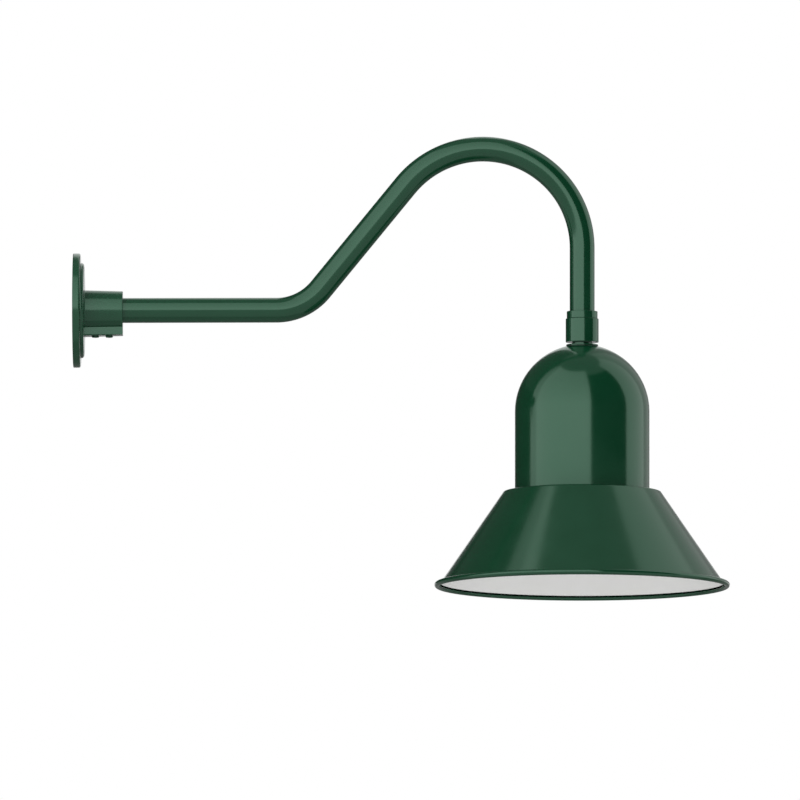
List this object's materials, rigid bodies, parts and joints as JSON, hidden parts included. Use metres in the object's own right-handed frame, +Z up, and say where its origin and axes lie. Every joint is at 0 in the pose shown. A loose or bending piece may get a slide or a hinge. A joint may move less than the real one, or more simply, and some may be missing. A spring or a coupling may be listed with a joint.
{
  "type": "gooseneck wall sconce",
  "caption": "Wall light with a round cast canopy, a gooseneck pipe arm that hangs down at its end, and a domed shade with a flared reflector.",
  "frame": {"origin": "centre of the canopy's wall face, on the hub's axis", "axes": "+X out of the wall along the hub and the arm's level run, +Z up, with the arm bent in the plane Y = 0"},
  "size_m": [0.7008, 0.3154, 0.4833],
  "materials": {
    "green_powder_coat": "gloss",
    "green_painted_steel": "gloss",
    "zinc_plated_steel": "satin",
    "green_ground_screw": "satin",
    "spring_steel": "satin",
    "brass": "satin",
    "nickel_plated_brass": "satin",
    "glazed_porcelain": "gloss",
    "vulcanised_fibre": "matte",
    "bushing_nylon": "satin",
    "gasket_foam": "matte"
  },
  "bodies": {
    "wall_mount": {"wall_canopy": "green_powder_coat", "canopy_gasket": "gasket_foam", "ground_screw": "green_ground_screw"},
    "rear_set_screw": {"rear_set_screw": "green_painted_steel"},
    "front_set_screw": {"front_set_screw": "green_painted_steel"},
    "arm_and_shade": {"gooseneck_arm": "green_powder_coat", "lock_ring": "green_powder_coat", "shade_coupling": "green_powder_coat", "flanged_nipple": "green_powder_coat", "crown_gasket": "gasket_foam", "dome_hood": "green_powder_coat", "crown_washer": "zinc_plated_steel", "socket_bracket": "zinc_plated_steel", "locknut": "zinc_plated_steel", "wire_bushing": "bushing_nylon", "bracket_screws": "zinc_plated_steel", "porcelain_socket": "glazed_porcelain", "contact_retainer": "vulcanised_fibre", "screw_shell": "brass", "shell_rivets": "brass", "contact_spring": "spring_steel", "line_terminal_plate": "brass", "neutral_terminal_plate": "brass", "line_terminal_screw": "brass", "neutral_terminal_screw": "nickel_plated_brass", "reflector_skirt": "green_powder_coat", "shade_screws": "zinc_plated_steel", "shade_nuts": "zinc_plated_steel"},
    "lamp_contact": {"centre_contact": "brass"}
  },
  "joints": [
    {"name": "arm_turn", "type": "hinge", "parent": "wall_mount", "child": "arm_and_shade", "pos_m": [0, 0, 0], "axis": [1, 0, 0], "range_deg": [-180, 180]},
    {"name": "rear_set_screw_travel", "type": "slide", "parent": "wall_mount", "child": "rear_set_screw", "axis": [0, 0, -1], "range_m": [0, 0.004]},
    {"name": "front_set_screw_travel", "type": "slide", "parent": "wall_mount", "child": "front_set_screw", "axis": [0, 0, -1], "range_m": [0, 0.004]},
    {"name": "lamp_contact_press", "type": "slide", "parent": "arm_and_shade", "child": "lamp_contact", "axis": [0, 0, 1], "range_m": [0, 0.002], "stiffness_N_per_m": 1500, "springref_m": -0.002, "deforming": ["contact_spring"]}
  ]
}
